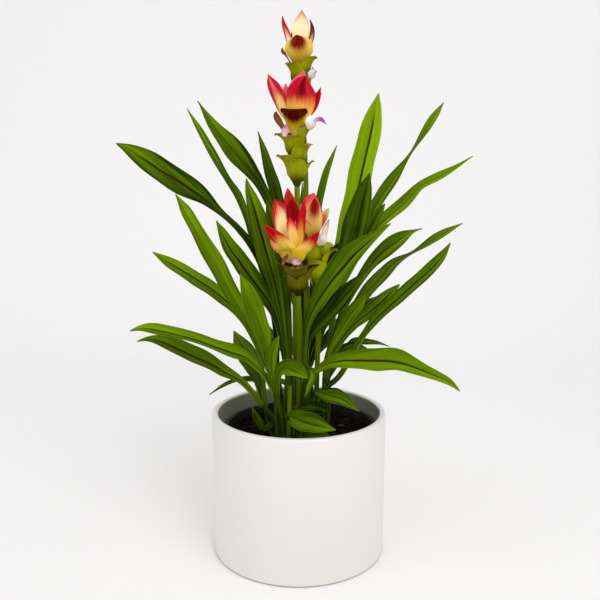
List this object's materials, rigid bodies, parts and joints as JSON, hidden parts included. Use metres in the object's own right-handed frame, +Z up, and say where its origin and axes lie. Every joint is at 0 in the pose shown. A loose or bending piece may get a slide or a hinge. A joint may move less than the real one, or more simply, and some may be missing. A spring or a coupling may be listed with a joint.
{
  "type": "potted siam tulip",
  "caption": "Potted siam tulip: lance-shaped leaves on upright shoots and red and yellow bract heads, growing from soil in a black grow pot that stands in a white straight-sided cover pot.",
  "frame": {"origin": "middle of the cover pot's foot, on the surface that the pot stands on", "axes": "+Z up along the pot's axis, -Y toward the side from which the plant is seen, +X to the right seen from there"},
  "size_m": [0.4009, 0.2947, 0.6165],
  "materials": {
    "white_glaze": "satin",
    "black_plastic": "satin",
    "potting_soil": "matte",
    "leaf_green": "satin",
    "bract_green": "satin",
    "crown_red": "matte",
    "flower_pale": "matte"
  },
  "bodies": {
    "root": {"cover_pot": "white_glaze", "grow_pot": "black_plastic", "soil": "potting_soil", "shoot_outer_left": "leaf_green", "shoot_front_left": "leaf_green", "shoot_left": "leaf_green", "shoot_back_left": "leaf_green", "shoot_rear_left": "leaf_green", "shoot_front": "leaf_green", "shoot_middle": "leaf_green", "shoot_right": "leaf_green", "shoot_rear": "leaf_green", "shoot_outer_right": "leaf_green", "shoot_back": "leaf_green", "scape_top": "bract_green", "crown_top": "crown_red", "scape_upper": "bract_green", "crown_upper": "crown_red", "scape_front": "bract_green", "crown_front": "crown_red", "scape_rear": "bract_green", "crown_rear": "crown_red", "flower_top": "flower_pale", "flower_upper_right": "flower_pale", "flower_upper_left": "flower_pale", "flower_front": "flower_pale", "flower_rear": "flower_pale", "cut_stub": "bract_green"}
  },
  "joints": []
}
